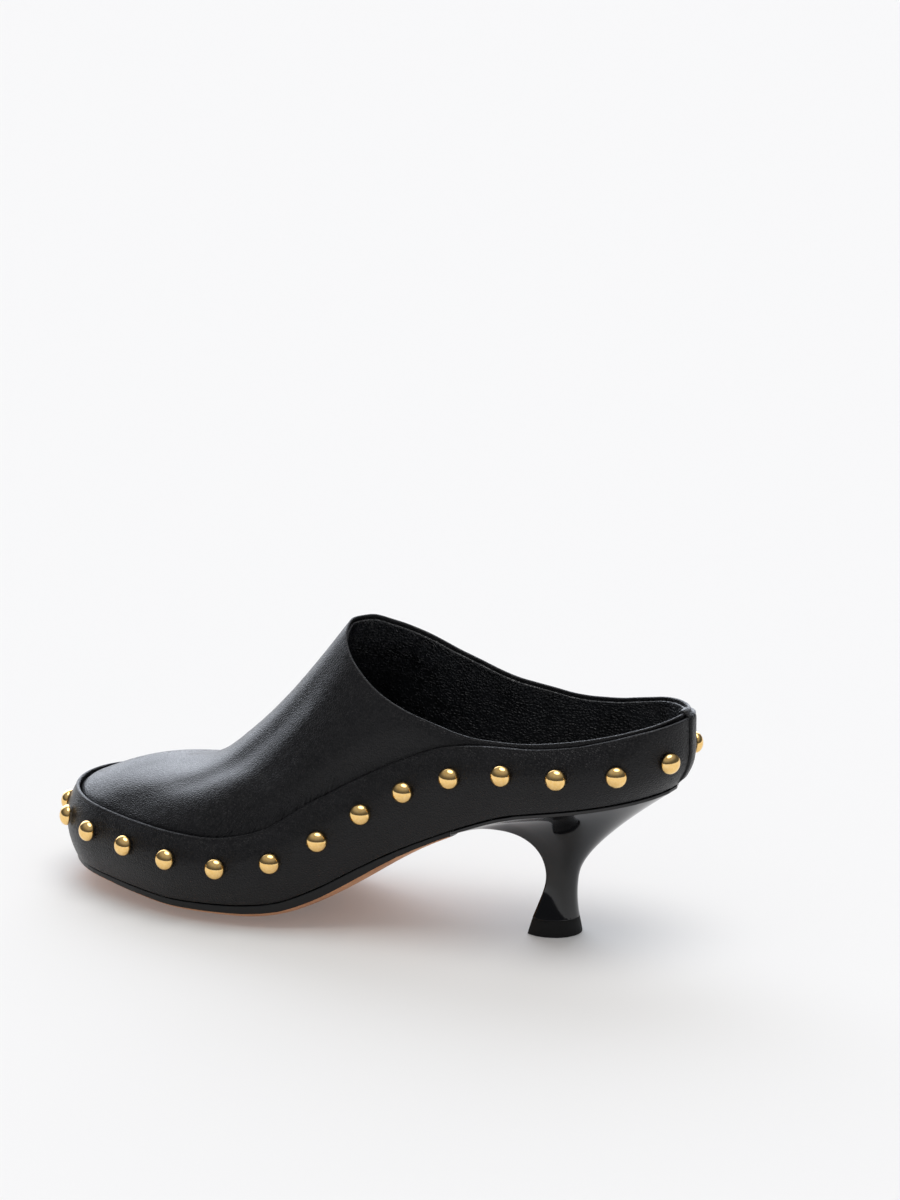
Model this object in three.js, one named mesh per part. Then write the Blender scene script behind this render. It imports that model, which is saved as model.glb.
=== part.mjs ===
// A heeled mule, left shoe: a closed clog-like upper on a low wall of leather with a row of domed studs,
// a thin leather outsole and a lacquered spool heel.
// Millimetres. +X points to the back of the heel, +Y to the inner (medial) side, +Z up.
import * as THREE from 'three';
import { mergeVertices } from 'three/addons/utils/BufferGeometryUtils.js';

// Overall sizes
const length = 257;
const ballWidth = 90;
const seatHeight = 65;
const wallHeight = 25;
const throatHeight = 113;
const throatAt = 0.537;
const throatStart = 0.382;
const toeSwing = 7.5;
const swingFrom = 0.6;
const backFlat = 1.6;
const backFlatTo = 0.1;

// Leather and clearances
const clearance = 0.3;
const hemLift = 0.5;
const upperWall = 2.2;
const wallFoot = 3.0;
const wallTop = 3.6;
const wallLip = 1.6;
const soleSetback = 0.6;
const soleEdge = 2.3;
const insoleThickness = 6;
const insoleGap = 0.9;
const insoleLift = 0.8;
const stripWidth = 6;
const stripThickness = 0.6;

// Heel
const breastAt = 0.337;
const heelCentre = 0.2093;
const tipHeight = 6.3;
const tipDepth = 18.8;
const tipWidth = 20.5;
const neckHeight = 22;
const lipThickness = 1.4;
const lipHollow = 3;
const backHollow = 12;
const neckRiseFront = 15;
const neckRiseBack = 9;
const seatPull = 0.55;
const blendFrom = -0.12;
const blendTo = 0.16;

// Studs
const studDiameter = 8.1;
const studHeight = 3.3;
const studCount = 30;
const studStart = 14.6;
const studEnd = 15.4;
const medialSpread = 0.972;

// Facets
const loopCount = 84;
const vampRows = 7;
const studSides = 10;
const studRows = 4;
const outlineSteps = 1440;
const studPathSteps = 720;
const seatSteps = 8;

// Plan and side form along the shoe. share: place along the length, 0 at the back and 1 at the toe tip.
// lateral, medial: fullness of each side, as a share of half the ball width; crease: lower edge of the wall,
// as a share of the seat height; bed, keel: middle of the sole's upper and under side, as shares of the seat
// height; rim: thickness of the sole's edge, as a share of the one at the ball; wall: height of the wall, as a
// share of its height at the toe; tuck, foot: how far its top and its foot are drawn in, as shares of the top
// and the foot inset; stud: height of a stud on the wall; spread: room for each stud, as a share of the mean.
const formTable = [
  { share: 0.00, lateral: 1.06, medial: 1.06, crease: 1.000, bed: 0.998, keel: 0.944, rim: 1.00,
    wall: 1.00, tuck: 0.0, foot: 1.85, stud: 0.5, spread: 0.98 },
  { share: 0.05, lateral: 1.04, medial: 1.04, crease: 0.952, bed: 0.950, keel: 0.896, rim: 1.00,
    wall: 1.01, tuck: 0.4, foot: 1.70, stud: 0.49, spread: 1 },
  { share: 0.10, lateral: 0.99, medial: 0.99, crease: 0.912, bed: 0.910, keel: 0.856, rim: 1.00,
    wall: 0.98, tuck: 0.8, foot: 1.50, stud: 0.49, spread: 1.06 },
  { share: 0.15, lateral: 0.93, medial: 0.92, crease: 0.877, bed: 0.875, keel: 0.821, rim: 1.00,
    wall: 0.95, tuck: 1.0, foot: 1.25, stud: 0.55, spread: 1.11 },
  { share: 0.20, lateral: 0.87, medial: 0.85, crease: 0.845, bed: 0.843, keel: 0.789, rim: 1.00,
    wall: 0.96, tuck: 1.0, foot: 1.10, stud: 0.6, spread: 1.09 },
  { share: 0.25, lateral: 0.80, medial: 0.77, crease: 0.806, bed: 0.804, keel: 0.750, rim: 1.00,
    wall: 1.03, tuck: 1.0, foot: 1.00, stud: 0.64, spread: 1.04 },
  { share: 0.30, lateral: 0.75, medial: 0.70, crease: 0.737, bed: 0.733, keel: 0.679, rim: 1.00,
    wall: 1.18, tuck: 1.0, foot: 1.00, stud: 0.66, spread: 1 },
  { share: 0.36, lateral: 0.73, medial: 0.66, crease: 0.636, bed: 0.628, keel: 0.572, rim: 0.70,
    wall: 1.33, tuck: 1.0, foot: 1.00, stud: 0.66, spread: 0.955 },
  { share: 0.42, lateral: 0.73, medial: 0.64, crease: 0.523, bed: 0.509, keel: 0.432, rim: 0.80,
    wall: 1.36, tuck: 1.0, foot: 1.00, stud: 0.65, spread: 0.935 },
  { share: 0.48, lateral: 0.78, medial: 0.67, crease: 0.393, bed: 0.373, keel: 0.272, rim: 1.20,
    wall: 1.36, tuck: 1.0, foot: 1.00, stud: 0.61, spread: 0.96 },
  { share: 0.54, lateral: 0.87, medial: 0.75, crease: 0.258, bed: 0.214, keel: 0.130, rim: 1.35,
    wall: 1.35, tuck: 1.0, foot: 1.00, stud: 0.56, spread: 1 },
  { share: 0.60, lateral: 0.97, medial: 0.86, crease: 0.164, bed: 0.096, keel: 0.030, rim: 1.10,
    wall: 1.18, tuck: 1.0, foot: 1.00, stud: 0.57, spread: 1.03 },
  { share: 0.65, lateral: 1.05, medial: 0.96, crease: 0.138, bed: 0.056, keel: 0.000, rim: 0.95,
    wall: 1.06, tuck: 1.0, foot: 1.00, stud: 0.59, spread: 1.02 },
  { share: 0.70, lateral: 1.12, medial: 1.06, crease: 0.127, bed: 0.054, keel: 0.000, rim: 0.85,
    wall: 1.00, tuck: 1.0, foot: 1.00, stud: 0.61, spread: 1.06 },
  { share: 0.76, lateral: 1.20, medial: 1.13, crease: 0.121, bed: 0.054, keel: 0.000, rim: 0.72,
    wall: 1.02, tuck: 1.0, foot: 1.00, stud: 0.645, spread: 1.06 },
  { share: 0.82, lateral: 1.25, medial: 1.18, crease: 0.132, bed: 0.070, keel: 0.028, rim: 0.62,
    wall: 1.01, tuck: 1.0, foot: 1.00, stud: 0.655, spread: 1.05 },
  { share: 0.88, lateral: 1.30, medial: 1.25, crease: 0.143, bed: 0.098, keel: 0.061, rim: 0.60,
    wall: 1.00, tuck: 1.0, foot: 1.00, stud: 0.665, spread: 1.05 },
  { share: 0.94, lateral: 1.42, medial: 1.36, crease: 0.157, bed: 0.130, keel: 0.096, rim: 0.60,
    wall: 1.00, tuck: 1.0, foot: 1.00, stud: 0.64, spread: 0.98 },
  { share: 1.00, lateral: 1.50, medial: 1.45, crease: 0.169, bed: 0.159, keel: 0.128, rim: 0.60,
    wall: 1.00, tuck: 1.0, foot: 1.00, stud: 0.65, spread: 0.8 },
];

// Height of the collar over the wall at the quarters, and how far it leans in from the wall's top.
// lateral, medial: height over the top of the wall, as a share of the wall's height; lean: share of half the
// ball width.
const quarterTable = [
  { share: 0.00, lateral: 0.05, medial: 0.05, lean: 0.000 },
  { share: 0.05, lateral: 0.03, medial: 0.12, lean: 0.000 },
  { share: 0.10, lateral: 0.045, medial: 0.16, lean: 0.002 },
  { share: 0.15, lateral: 0.065, medial: 0.20, lean: 0.004 },
  { share: 0.20, lateral: 0.065, medial: 0.25, lean: 0.006 },
  { share: 0.25, lateral: 0.055, medial: 0.36, lean: 0.010 },
  { share: 0.30, lateral: 0.09, medial: 0.50, lean: 0.018 },
  { share: 0.34, lateral: 0.21, medial: 0.70, lean: 0.032 },
  { share: 0.382, lateral: 0.50, medial: 1.04, lean: 0.055 },
];

// The collar round the throat. turn: degrees from the throat's middle, lateral below zero;
// height: share of the throat height.
const throatTable = [
  { turn: -70, height: 0.815 },
  { turn: -50, height: 0.880 },
  { turn: -30, height: 0.932 },
  { turn: -10, height: 0.975 },
  { turn: 10, height: 0.998 },
  { turn: 30, height: 0.996 },
  { turn: 50, height: 0.970 },
  { turn: 70, height: 0.930 },
];
const throatRound = { lateral: 0.70, medial: 0.87 };

// Profile of the upper between the top of the wall and the collar, through three places on each line.
// turn: degrees from the throat's middle, lateral below zero; inA to inC: share of the way in plan;
// upA to upC: share of the way up.
const profileTable = [
  { turn: -90, inA: 0.10, upA: 0.30, inB: 0.30, upB: 0.58, inC: 0.60, upC: 0.82 },
  { turn: -70, inA: 0.14, upA: 0.24, inB: 0.42, upB: 0.52, inC: 0.72, upC: 0.79 },
  { turn: -45, inA: 0.18, upA: 0.19, inB: 0.49, upB: 0.42, inC: 0.76, upC: 0.705 },
  { turn: -25, inA: 0.18, upA: 0.13, inB: 0.47, upB: 0.275, inC: 0.76, upC: 0.60 },
  { turn: 0, inA: 0.18, upA: 0.11, inB: 0.48, upB: 0.205, inC: 0.76, upC: 0.56 },
  { turn: 25, inA: 0.18, upA: 0.12, inB: 0.48, upB: 0.20, inC: 0.76, upC: 0.56 },
  { turn: 45, inA: 0.21, upA: 0.17, inB: 0.51, upB: 0.34, inC: 0.78, upC: 0.66 },
  { turn: 70, inA: 0.15, upA: 0.27, inB: 0.42, upB: 0.54, inC: 0.72, upC: 0.78 },
  { turn: 90, inA: 0.10, upA: 0.30, inB: 0.30, upB: 0.58, inC: 0.60, upC: 0.82 },
];

// Sections of the heel from the floor to the neck. height: share of the neck height; size: share of the tip;
// shift: towards the back, as a share of the tip's depth.
const heelTable = [
  { height: 0.00, size: 1.000, shift: 0.000 },
  { height: 0.29, size: 0.850, shift: 0.012 },
  { height: 0.45, size: 0.760, shift: 0.030 },
  { height: 0.62, size: 0.675, shift: 0.060 },
  { height: 0.80, size: 0.605, shift: 0.095 },
  { height: 1.00, size: 0.580, shift: 0.130 },
];

// Materials
const blackLeather = new THREE.MeshStandardMaterial({ color: '#17171a', roughness: 0.42, metalness: 0 });
const lining = new THREE.MeshStandardMaterial({ color: '#121212', roughness: 0.6, metalness: 0 });
const tanLeather = new THREE.MeshStandardMaterial({ color: '#c08a62', roughness: 0.6, metalness: 0 });
const lacquer = new THREE.MeshStandardMaterial({ color: '#0c0c0e', roughness: 0.08, metalness: 0 });
const rubber = new THREE.MeshStandardMaterial({ color: '#151515', roughness: 0.75, metalness: 0 });
const gold = new THREE.MeshStandardMaterial({ color: '#e0b25a', roughness: 0.14, metalness: 1 });

// Smooth value of one column of a table at one place: a cubic through its rows that never overshoots.
function lookUp(rows, key, column, place) {
  const last = rows.length - 1;
  const at = THREE.MathUtils.clamp(place, rows[0][key], rows[last][key]);
  const slopeAfter = (i) => (rows[i + 1][column] - rows[i][column]) / (rows[i + 1][key] - rows[i][key]);
  const tangent = (i) => {
    if (i === 0) return slopeAfter(0);
    if (i === last) return slopeAfter(last - 1);
    const before = slopeAfter(i - 1);
    const after = slopeAfter(i);
    return before * after <= 0 ? 0 : (2 * before * after) / (before + after);
  };
  let i = 0;
  while (i < last - 1 && at > rows[i + 1][key]) i += 1;
  const span = rows[i + 1][key] - rows[i][key];
  const t = (at - rows[i][key]) / span;
  const start = rows[i][column];
  const end = rows[i + 1][column];
  const curveStart = (1 + 2 * t) * (1 - t) ** 2;
  const curveEnd = t * t * (3 - 2 * t);
  const tangents = t * (1 - t) ** 2 * tangent(i) - t * t * (1 - t) * tangent(i + 1);
  return curveStart * start + curveEnd * end + span * tangents;
}

const form = (column, share) => lookUp(formTable, 'share', column, share);
const xAt = (share) => length * (0.5 - share);
const shareAt = (x) => 0.5 - x / length;
const midline = (share) => toeSwing * THREE.MathUtils.smoothstep(share, swingFrom, 1);

// Half the width of one side of the shoe. side: 'lateral' or 'medial'.
function halfWidth(side, share) {
  const inside = THREE.MathUtils.clamp(share, 0, 1);
  return ballWidth * form(side, inside) * Math.sqrt(inside * (1 - inside));
}

// Point of the outline, which is a little flattened at the back. angle runs from 0 at the back over pi at the
// toe tip to 2 pi, lateral side first.
function outlineAt(angle) {
  const side = angle <= Math.PI ? 'lateral' : 'medial';
  const share = (1 - Math.cos(angle)) / 2;
  const across = halfWidth(side, share) * (side === 'lateral' ? -1 : 1);
  const drawnIn = backFlat * Math.max(0, 1 - share / backFlatTo) ** 2;
  return { x: xAt(share) - drawnIn, y: midline(share) + across, share, side };
}

// Normal to the inside of the outline at one angle
function inwardAt(angle) {
  const step = 0.002;
  const ahead = outlineAt(THREE.MathUtils.euclideanModulo(angle + step, 2 * Math.PI));
  const behind = outlineAt(THREE.MathUtils.euclideanModulo(angle - step, 2 * Math.PI));
  return new THREE.Vector2(ahead.y - behind.y, behind.x - ahead.x).normalize();
}

// The outline as points at equal steps, each with its normal to the inside
function sampleOutline(count, from = 0, to = 2 * Math.PI) {
  const fine = outlineSteps;
  const points = [];
  const runs = [0];
  for (let i = 0; i <= fine; i += 1) {
    const point = outlineAt(from + ((to - from) * i) / fine);
    if (i > 0) runs.push(runs[i - 1] + Math.hypot(point.x - points[i - 1].x, point.y - points[i - 1].y));
    points.push(point);
  }
  const samples = [];
  let i = 0;
  for (let k = 0; k <= count; k += 1) {
    const run = (runs[fine] * k) / count;
    while (i < fine - 1 && runs[i + 1] < run) i += 1;
    const t = (run - runs[i]) / (runs[i + 1] - runs[i]);
    const angle = from + ((to - from) * (i + t)) / fine;
    const here = outlineAt(THREE.MathUtils.euclideanModulo(angle, 2 * Math.PI));
    samples.push({ ...here, run, normal: inwardAt(angle) });
  }
  return samples;
}

const insetPoint = (sample, inset) => new THREE.Vector2(
  sample.x + sample.normal.x * inset,
  sample.y + sample.normal.y * inset,
);

const footInset = (share) => wallFoot * form('foot', share);
const soleInset = (share) => footInset(share) + soleSetback;

// Share of the way from the midline to the edge of the sole at one place.
function acrossAt(x, y) {
  const share = shareAt(x);
  const offset = y - midline(share);
  const half = halfWidth(offset < 0 ? 'lateral' : 'medial', share) - wallFoot;
  return half <= Math.abs(offset) ? 1 : Math.abs(offset) / half;
}

// The sole's upper side rises gently from its flat middle to its edge, and its under side is rounded.
const bedFlat = 0.38;
const underFlat = 0.33;
const underRound = 2.0;
const pastFlat = (x, y, flat) => THREE.MathUtils.clamp((acrossAt(x, y) - flat) / (1 - flat), 0, 1);

// Height of the sole's upper side, on which upper, wall and insole stand
function deckHeight(x, y) {
  const share = shareAt(x);
  const rise = pastFlat(x, y, bedFlat) ** 2;
  return seatHeight * THREE.MathUtils.lerp(form('bed', share), form('crease', share), rise);
}

function underHeight(x, y) {
  const share = shareAt(x);
  const rise = 1 - Math.sqrt(1 - pastFlat(x, y, underFlat) ** underRound);
  const edge = seatHeight * form('crease', share) - soleEdge * form('rim', share);
  return THREE.MathUtils.lerp(seatHeight * form('keel', share), edge, rise);
}

const onDeck = (point, lift) => new THREE.Vector3(point.x, point.y, deckHeight(point.x, point.y) + lift);
const ridgeHeight = (share) => seatHeight * form('crease', share) + wallHeight * form('wall', share);

// A closed body from triangles: equal corners become one, flat triangles go, and faces point out.
function closedBody(geometry) {
  const bare = geometry.clone();
  bare.deleteAttribute('normal');
  bare.deleteAttribute('uv');
  const merged = mergeVertices(bare, 1e-4);
  const place = merged.getAttribute('position');
  const kept = [];
  let volume = 0;
  for (let i = 0; i < merged.index.count; i += 3) {
    const ids = [0, 1, 2].map((k) => merged.index.getX(i + k));
    if (new Set(ids).size === 3) {
      kept.push(...ids);
      const [a, b, c] = ids.map((id) => new THREE.Vector3().fromBufferAttribute(place, id));
      volume += a.dot(b.cross(c));
    }
  }
  if (volume < 0) kept.reverse();
  merged.setIndex(kept);
  merged.computeVertexNormals();
  return merged;
}

// A body from rings of points with as many points each. joined: the last ring meets the first one.
// Open ends are closed by triangles to the middle of the ring, or by rungs where the ring is a flat strip.
function loft(rings, { joined = false, ends = 'middle' } = {}) {
  const size = rings[0].length;
  const points = rings.flat();
  const faces = [];
  const spans = joined ? rings.length : rings.length - 1;
  for (let i = 0; i < spans; i += 1) {
    for (let k = 0; k < size; k += 1) {
      const a = i * size + k;
      const b = i * size + ((k + 1) % size);
      const c = ((i + 1) % rings.length) * size + ((k + 1) % size);
      const d = ((i + 1) % rings.length) * size + k;
      faces.push(a, b, c, a, c, d);
    }
  }
  const close = (ring, first, flip) => {
    if (ends === 'rungs') {
      for (let k = 0; k < size / 2 - 1; k += 1) {
        const [a, b] = [first + k, first + k + 1];
        const [c, d] = [first + size - 2 - k, first + size - 1 - k];
        faces.push(...(flip ? [a, c, b, a, d, c] : [a, b, c, a, c, d]));
      }
      return;
    }
    const middle = ring.reduce((sum, point) => sum.add(point), new THREE.Vector3()).divideScalar(size);
    points.push(middle);
    for (let k = 0; k < size; k += 1) {
      const [a, b] = [first + k, first + ((k + 1) % size)];
      faces.push(...(flip ? [a, points.length - 1, b] : [a, b, points.length - 1]));
    }
  };
  if (!joined) {
    close(rings[0], 0, true);
    close(rings[rings.length - 1], (rings.length - 1) * size, false);
  }
  const geometry = new THREE.BufferGeometry().setFromPoints(points);
  geometry.setIndex(faces);
  return closedBody(geometry);
}

const node = (name, geometry, material) => {
  const mesh = new THREE.Mesh(geometry, material);
  mesh.name = name;
  return mesh;
};

// Wall of leather round the shoe: a barrel outside, widest at half its height, and straight inside
const widest = 0.5;
const wallProfile = [0, 0.12, 0.3, 0.5, 0.7, 0.88, 1];

function wallInset(level, share) {
  const foot = footInset(share) * Math.max(0, 1 - level / widest) ** 2;
  const top = wallTop * form('tuck', share) * Math.max(0, (level - widest) / (1 - widest)) ** 2;
  return foot + top;
}

function wallPoint(sample, level, out = 0) {
  const inset = wallInset(level, sample.share);
  const foot = insetPoint(sample, footInset(sample.share));
  const start = deckHeight(foot.x, foot.y) + clearance;
  const plan = insetPoint(sample, inset - out);
  return new THREE.Vector3(plan.x, plan.y, THREE.MathUtils.lerp(start, ridgeHeight(sample.share), level));
}

const bandInset = (share) => wallTop * form('tuck', share) + wallLip;
const upperInset = (share) => bandInset(share) + clearance;
const hemInset = (share) => footInset(share) + wallLip + clearance;

function wall() {
  const rings = sampleOutline(loopCount).slice(0, loopCount).map((sample) => {
    const outside = wallProfile.map((level) => wallPoint(sample, level));
    const foot = onDeck(insetPoint(sample, footInset(sample.share) + wallLip), clearance);
    const lip = insetPoint(sample, bandInset(sample.share));
    const top = new THREE.Vector3(lip.x, lip.y, ridgeHeight(sample.share));
    return [foot, top, ...outside.reverse()];
  });
  return loft(rings, { joined: true });
}

// The collar: one point of its rim for each line of the upper
function collarPoint(sample, turn) {
  const half = ballWidth / 2;
  const quarterAt = (side, share) => {
    const lift = wallHeight * lookUp(quarterTable, 'share', side, share);
    return ridgeHeight(share) + lift;
  };
  if (turn === null) {
    const lean = half * lookUp(quarterTable, 'share', 'lean', sample.share);
    const plan = insetPoint(sample, upperInset(sample.share) + lean);
    return new THREE.Vector3(plan.x, plan.y, quarterAt(sample.side, sample.share));
  }
  const rows = [
    { turn: -90, height: quarterAt('lateral', throatStart) / throatHeight },
    ...throatTable,
    { turn: 90, height: quarterAt('medial', throatStart) / throatHeight },
  ];
  const angle = THREE.MathUtils.degToRad(turn);
  const side = turn < 0 ? 'lateral' : 'medial';
  const lean = half * lookUp(quarterTable, 'share', 'lean', throatStart);
  const width = halfWidth(side, throatStart) - upperInset(throatStart) - lean;
  const depth = length * (throatAt - throatStart);
  return new THREE.Vector3(
    xAt(throatStart) - depth * Math.cos(angle) ** throatRound[side],
    width * Math.sin(angle),
    throatHeight * lookUp(rows, 'turn', 'height', turn),
  );
}

// Turn round the throat for each line of the upper; null at the quarters
const throatTurn = 88;

function throatTurns(samples) {
  const front = samples.filter((sample) => sample.share > throatStart);
  const tip = front.reduce((best, sample) => (sample.share > best.share ? sample : best));
  const first = front[0].run;
  const last = front[front.length - 1].run;
  return samples.map((sample) => {
    if (sample.share <= throatStart) return null;
    const way = sample.run < tip.run
      ? (sample.run - tip.run) / (tip.run - first)
      : (sample.run - tip.run) / (last - tip.run);
    return throatTurn * way;
  });
}

// Outer face of the upper: hem, top of the wall, then a smooth profile to the collar
function upperOutside() {
  const samples = sampleOutline(loopCount).slice(0, loopCount);
  const turns = throatTurns(samples);
  return samples.map((sample, i) => {
    const turn = turns[i] ?? (sample.side === 'lateral' ? -90 : 90);
    const profile = (column) => lookUp(profileTable, 'turn', column, turn);
    const plan = insetPoint(sample, upperInset(sample.share));
    const start = new THREE.Vector3(plan.x, plan.y, ridgeHeight(sample.share));
    const end = collarPoint(sample, turns[i]);
    const between = ['A', 'B', 'C'].map((place) => {
      const point = start.clone().lerp(end, profile(`in${place}`));
      point.z = THREE.MathUtils.lerp(start.z, end.z, profile(`up${place}`));
      return point;
    });
    const curve = new THREE.CatmullRomCurve3([start, ...between, end]);
    return [onDeck(insetPoint(sample, hemInset(sample.share)), hemLift), ...curve.getSpacedPoints(vampRows)];
  });
}

// Unit normals of a closed band of lines, pointing out of the shoe
function bandNormals(lines) {
  return lines.map((line, i) => line.map((point, k) => {
    const before = lines[(i + lines.length - 1) % lines.length][k];
    const after = lines[(i + 1) % lines.length][k];
    const below = line[Math.max(k - 1, 0)];
    const above = line[Math.min(k + 1, line.length - 1)];
    const around = after.clone().sub(before);
    const up = above.clone().sub(below);
    return up.cross(around).normalize();
  }));
}

function upper() {
  const outside = upperOutside();
  const normals = bandNormals(outside);
  const rings = outside.map((line, i) => {
    const inside = line.map((point, k) => {
      const shifted = point.clone().addScaledVector(normals[i][k], -upperWall);
      return k === 0 ? onDeck(shifted, hemLift) : shifted;
    });
    return [...line, ...inside.reverse()];
  });
  return loft(rings, { joined: true });
}

// A plate that follows the deck, between two shares of the length. Its sides are inset from the outline.
const bedColumns = [-1, -0.79, -0.585, -0.38, 0, 0.38, 0.585, 0.79, 1];
const soleColumns = [-1, -0.96, -0.86, -0.72, -0.52, -0.28, 0, 0.28, 0.52, 0.72, 0.86, 0.96, 1];

function plate({ from, to, inset, steps, columns, top, bottom }) {
  const angleOf = (share) => Math.acos(1 - 2 * share);
  const rings = [];
  for (let i = 0; i <= steps; i += 1) {
    const angle = THREE.MathUtils.lerp(angleOf(from), angleOf(to), i / steps);
    const edges = [angle, 2 * Math.PI - angle].map((turn) => {
      const here = outlineAt(THREE.MathUtils.euclideanModulo(turn, 2 * Math.PI));
      return insetPoint({ ...here, normal: inwardAt(turn) }, inset(here.share));
    });
    const points = columns.map((column) => edges[0].clone().lerp(edges[1], (column + 1) / 2));
    const under = points.map((point) => new THREE.Vector3(point.x, point.y, bottom(point)));
    const over = points.map((point) => new THREE.Vector3(point.x, point.y, top(point)));
    rings.push([...under, ...over.reverse()]);
  }
  return loft(rings, { ends: 'rungs' });
}

const outsole = () => plate({
  from: breastAt,
  to: 1,
  inset: soleInset,
  steps: 34,
  columns: soleColumns,
  top: (point) => deckHeight(point.x, point.y),
  bottom: (point) => underHeight(point.x, point.y),
});

const insole = () => plate({
  from: 0,
  to: 1,
  inset: (share) => hemInset(share) + upperWall + insoleGap,
  steps: 26,
  columns: bedColumns,
  top: (point) => deckHeight(point.x, point.y) + insoleLift + insoleThickness,
  bottom: (point) => deckHeight(point.x, point.y) + insoleLift,
});

// Section of the heel: an ellipse cut straight at the front, the breast
const roundSteps = 24;
const breastSteps = 8;
const cutAngle = THREE.MathUtils.degToRad(125);

function heelSection(depth, width, middle, z) {
  const radius = depth / (1 - Math.cos(cutAngle));
  const centre = middle + depth / 2 - radius;
  const points = [];
  for (let i = 0; i <= roundSteps; i += 1) {
    const angle = THREE.MathUtils.lerp(-cutAngle, cutAngle, i / roundSteps);
    points.push(new THREE.Vector3(centre + radius * Math.cos(angle), (width / 2) * Math.sin(angle), z));
  }
  const [first, last] = [points[0], points[roundSteps]];
  for (let i = 1; i < breastSteps; i += 1) points.push(last.clone().lerp(first, i / breastSteps));
  return points;
}

function heelRing(height) {
  const row = (column) => lookUp(heelTable, 'height', column, height);
  const middle = xAt(heelCentre) + tipDepth * row('shift');
  return heelSection(tipDepth * row('size'), tipWidth * row('size'), middle, neckHeight * height);
}

// Edge of the heel's seat: the outline of the shoe behind the breast, and the breast line
function seatRing() {
  const breastAngle = Math.acos(1 - 2 * breastAt);
  const back = sampleOutline(roundSteps, -breastAngle, breastAngle)
    .map((sample) => insetPoint(sample, soleInset(sample.share)));
  const [last, first] = [back[0], back[roundSteps]];
  const points = back.reverse();
  for (let i = 1; i < breastSteps; i += 1) points.push(last.clone().lerp(first, i / breastSteps));
  return points.map((point) => new THREE.Vector3(point.x + clearance, point.y, 0));
}

const seatRings = [0, 0.35, 0.7];

function heel() {
  const rings = heelTable
    .map((row) => row.height)
    .filter((height) => height * neckHeight > tipHeight)
    .map(heelRing);
  const first = heelRing((tipHeight + clearance) / neckHeight);
  const neck = heelRing(1);
  const seat = seatRing();
  const neckX = xAt(heelCentre) + tipDepth * lookUp(heelTable, 'height', 'shift', 1);
  const deck = (point) => deckHeight(point.x, point.y) - clearance;
  const curves = seat.map((point, i) => {
    const backward = THREE.MathUtils.smoothstep(point.x - neckX, blendFrom * length, blendTo * length);
    const end = new THREE.Vector3(point.x, point.y, deck(point) - lipThickness);
    const pull = point.clone().lerp(neck[i], seatPull);
    pull.z = deck(pull) - THREE.MathUtils.lerp(lipHollow, backHollow, backward);
    const push = neck[i].clone();
    push.z += THREE.MathUtils.lerp(neckRiseFront, neckRiseBack, backward);
    return new THREE.CubicBezierCurve3(neck[i], push, pull, end).getPoints(seatSteps);
  });
  for (let k = 1; k <= seatSteps; k += 1) rings.push(curves.map((curve) => curve[k]));
  const middle = new THREE.Vector3(neckX, 0, 0);
  const topRing = (share) => seat.map((point) => {
    const plan = point.clone().lerp(middle, share);
    return new THREE.Vector3(plan.x, plan.y, deck(plan));
  });
  rings.push(...seatRings.map(topRing));
  return loft([first, ...rings]);
}

const heelTip = () => loft([heelRing(0), heelRing(tipHeight / neckHeight)]);

// Places of the studs on the wall, from one side of the seam at the back to the other. The room between them
// follows the table, and is a little narrower along the medial side.
function studPlaces() {
  const path = sampleOutline(studPathSteps).map((sample) => ({
    ...sample,
    seat: wallPoint(sample, form('stud', sample.share)),
  }));
  const ways = [0];
  for (let i = 1; i < path.length; i += 1) {
    const room = form('spread', path[i].share) * (path[i].side === 'medial' ? medialSpread : 1);
    ways.push(ways[i - 1] + path[i].seat.distanceTo(path[i - 1].seat) / room);
  }
  const step = (ways[path.length - 1] - studStart - studEnd) / (studCount - 1);
  const placeAt = (run) => path[ways.findIndex((way) => way >= run)];
  return Array.from({ length: studCount }, (unused, k) => placeAt(studStart + step * k));
}

// Strip over the seam of the wall at the back, midway between the first and the last stud
const stripLevels = [0.02, 0.12, 0.3, 0.5, 0.7, 0.88, 0.98];

function backStrip() {
  const places = studPlaces();
  const middle = (places[0].y + places[studCount - 1].y) / 2;
  const order = sampleOutline(studPathSteps)
    .filter((sample) => Math.abs(sample.y - middle) <= stripWidth / 2 && sample.x > 0)
    .sort((a, b) => a.y - b.y);
  const across = [0, 0.5, 1].map((t) => order[Math.round((order.length - 1) * t)]);
  const rings = stripLevels.map((level) => {
    const inner = across.map((sample) => wallPoint(sample, level, clearance));
    const outer = across.map((sample) => wallPoint(sample, level, clearance + stripThickness));
    return [...inner, ...outer.reverse()];
  });
  return loft(rings, { ends: 'rungs' });
}

// A domed stud
function studGeometry() {
  const radius = studDiameter / 2;
  const ball = (radius ** 2 + studHeight ** 2) / (2 * studHeight);
  const start = Math.asin((studHeight - ball) / ball);
  const profile = [new THREE.Vector2(0, 0), new THREE.Vector2(radius, 0)];
  for (let i = 1; i <= studRows; i += 1) {
    const angle = THREE.MathUtils.lerp(-start, Math.PI / 2, i / studRows);
    const away = i === studRows ? 0 : ball * Math.cos(angle);
    profile.push(new THREE.Vector2(away, ball * Math.sin(angle) + studHeight - ball));
  }
  return closedBody(new THREE.LatheGeometry(profile, studSides));
}

function studs() {
  const probe = 0.02;
  return studPlaces().map((sample, k) => {
    const level = form('stud', sample.share);
    const above = wallPoint(sample, level + probe);
    const below = wallPoint(sample, level - probe);
    const around = new THREE.Vector3(sample.normal.y, -sample.normal.x, 0);
    const outward = above.sub(below).cross(around).normalize();
    if (outward.x * sample.normal.x + outward.y * sample.normal.y > 0) outward.negate();
    const stud = node(`stud_${String(k + 1).padStart(2, '0')}`, studGeometry(), gold);
    stud.position.copy(sample.seat).addScaledVector(outward, clearance);
    stud.quaternion.setFromUnitVectors(new THREE.Vector3(0, 1, 0), outward);
    return stud;
  });
}

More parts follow.
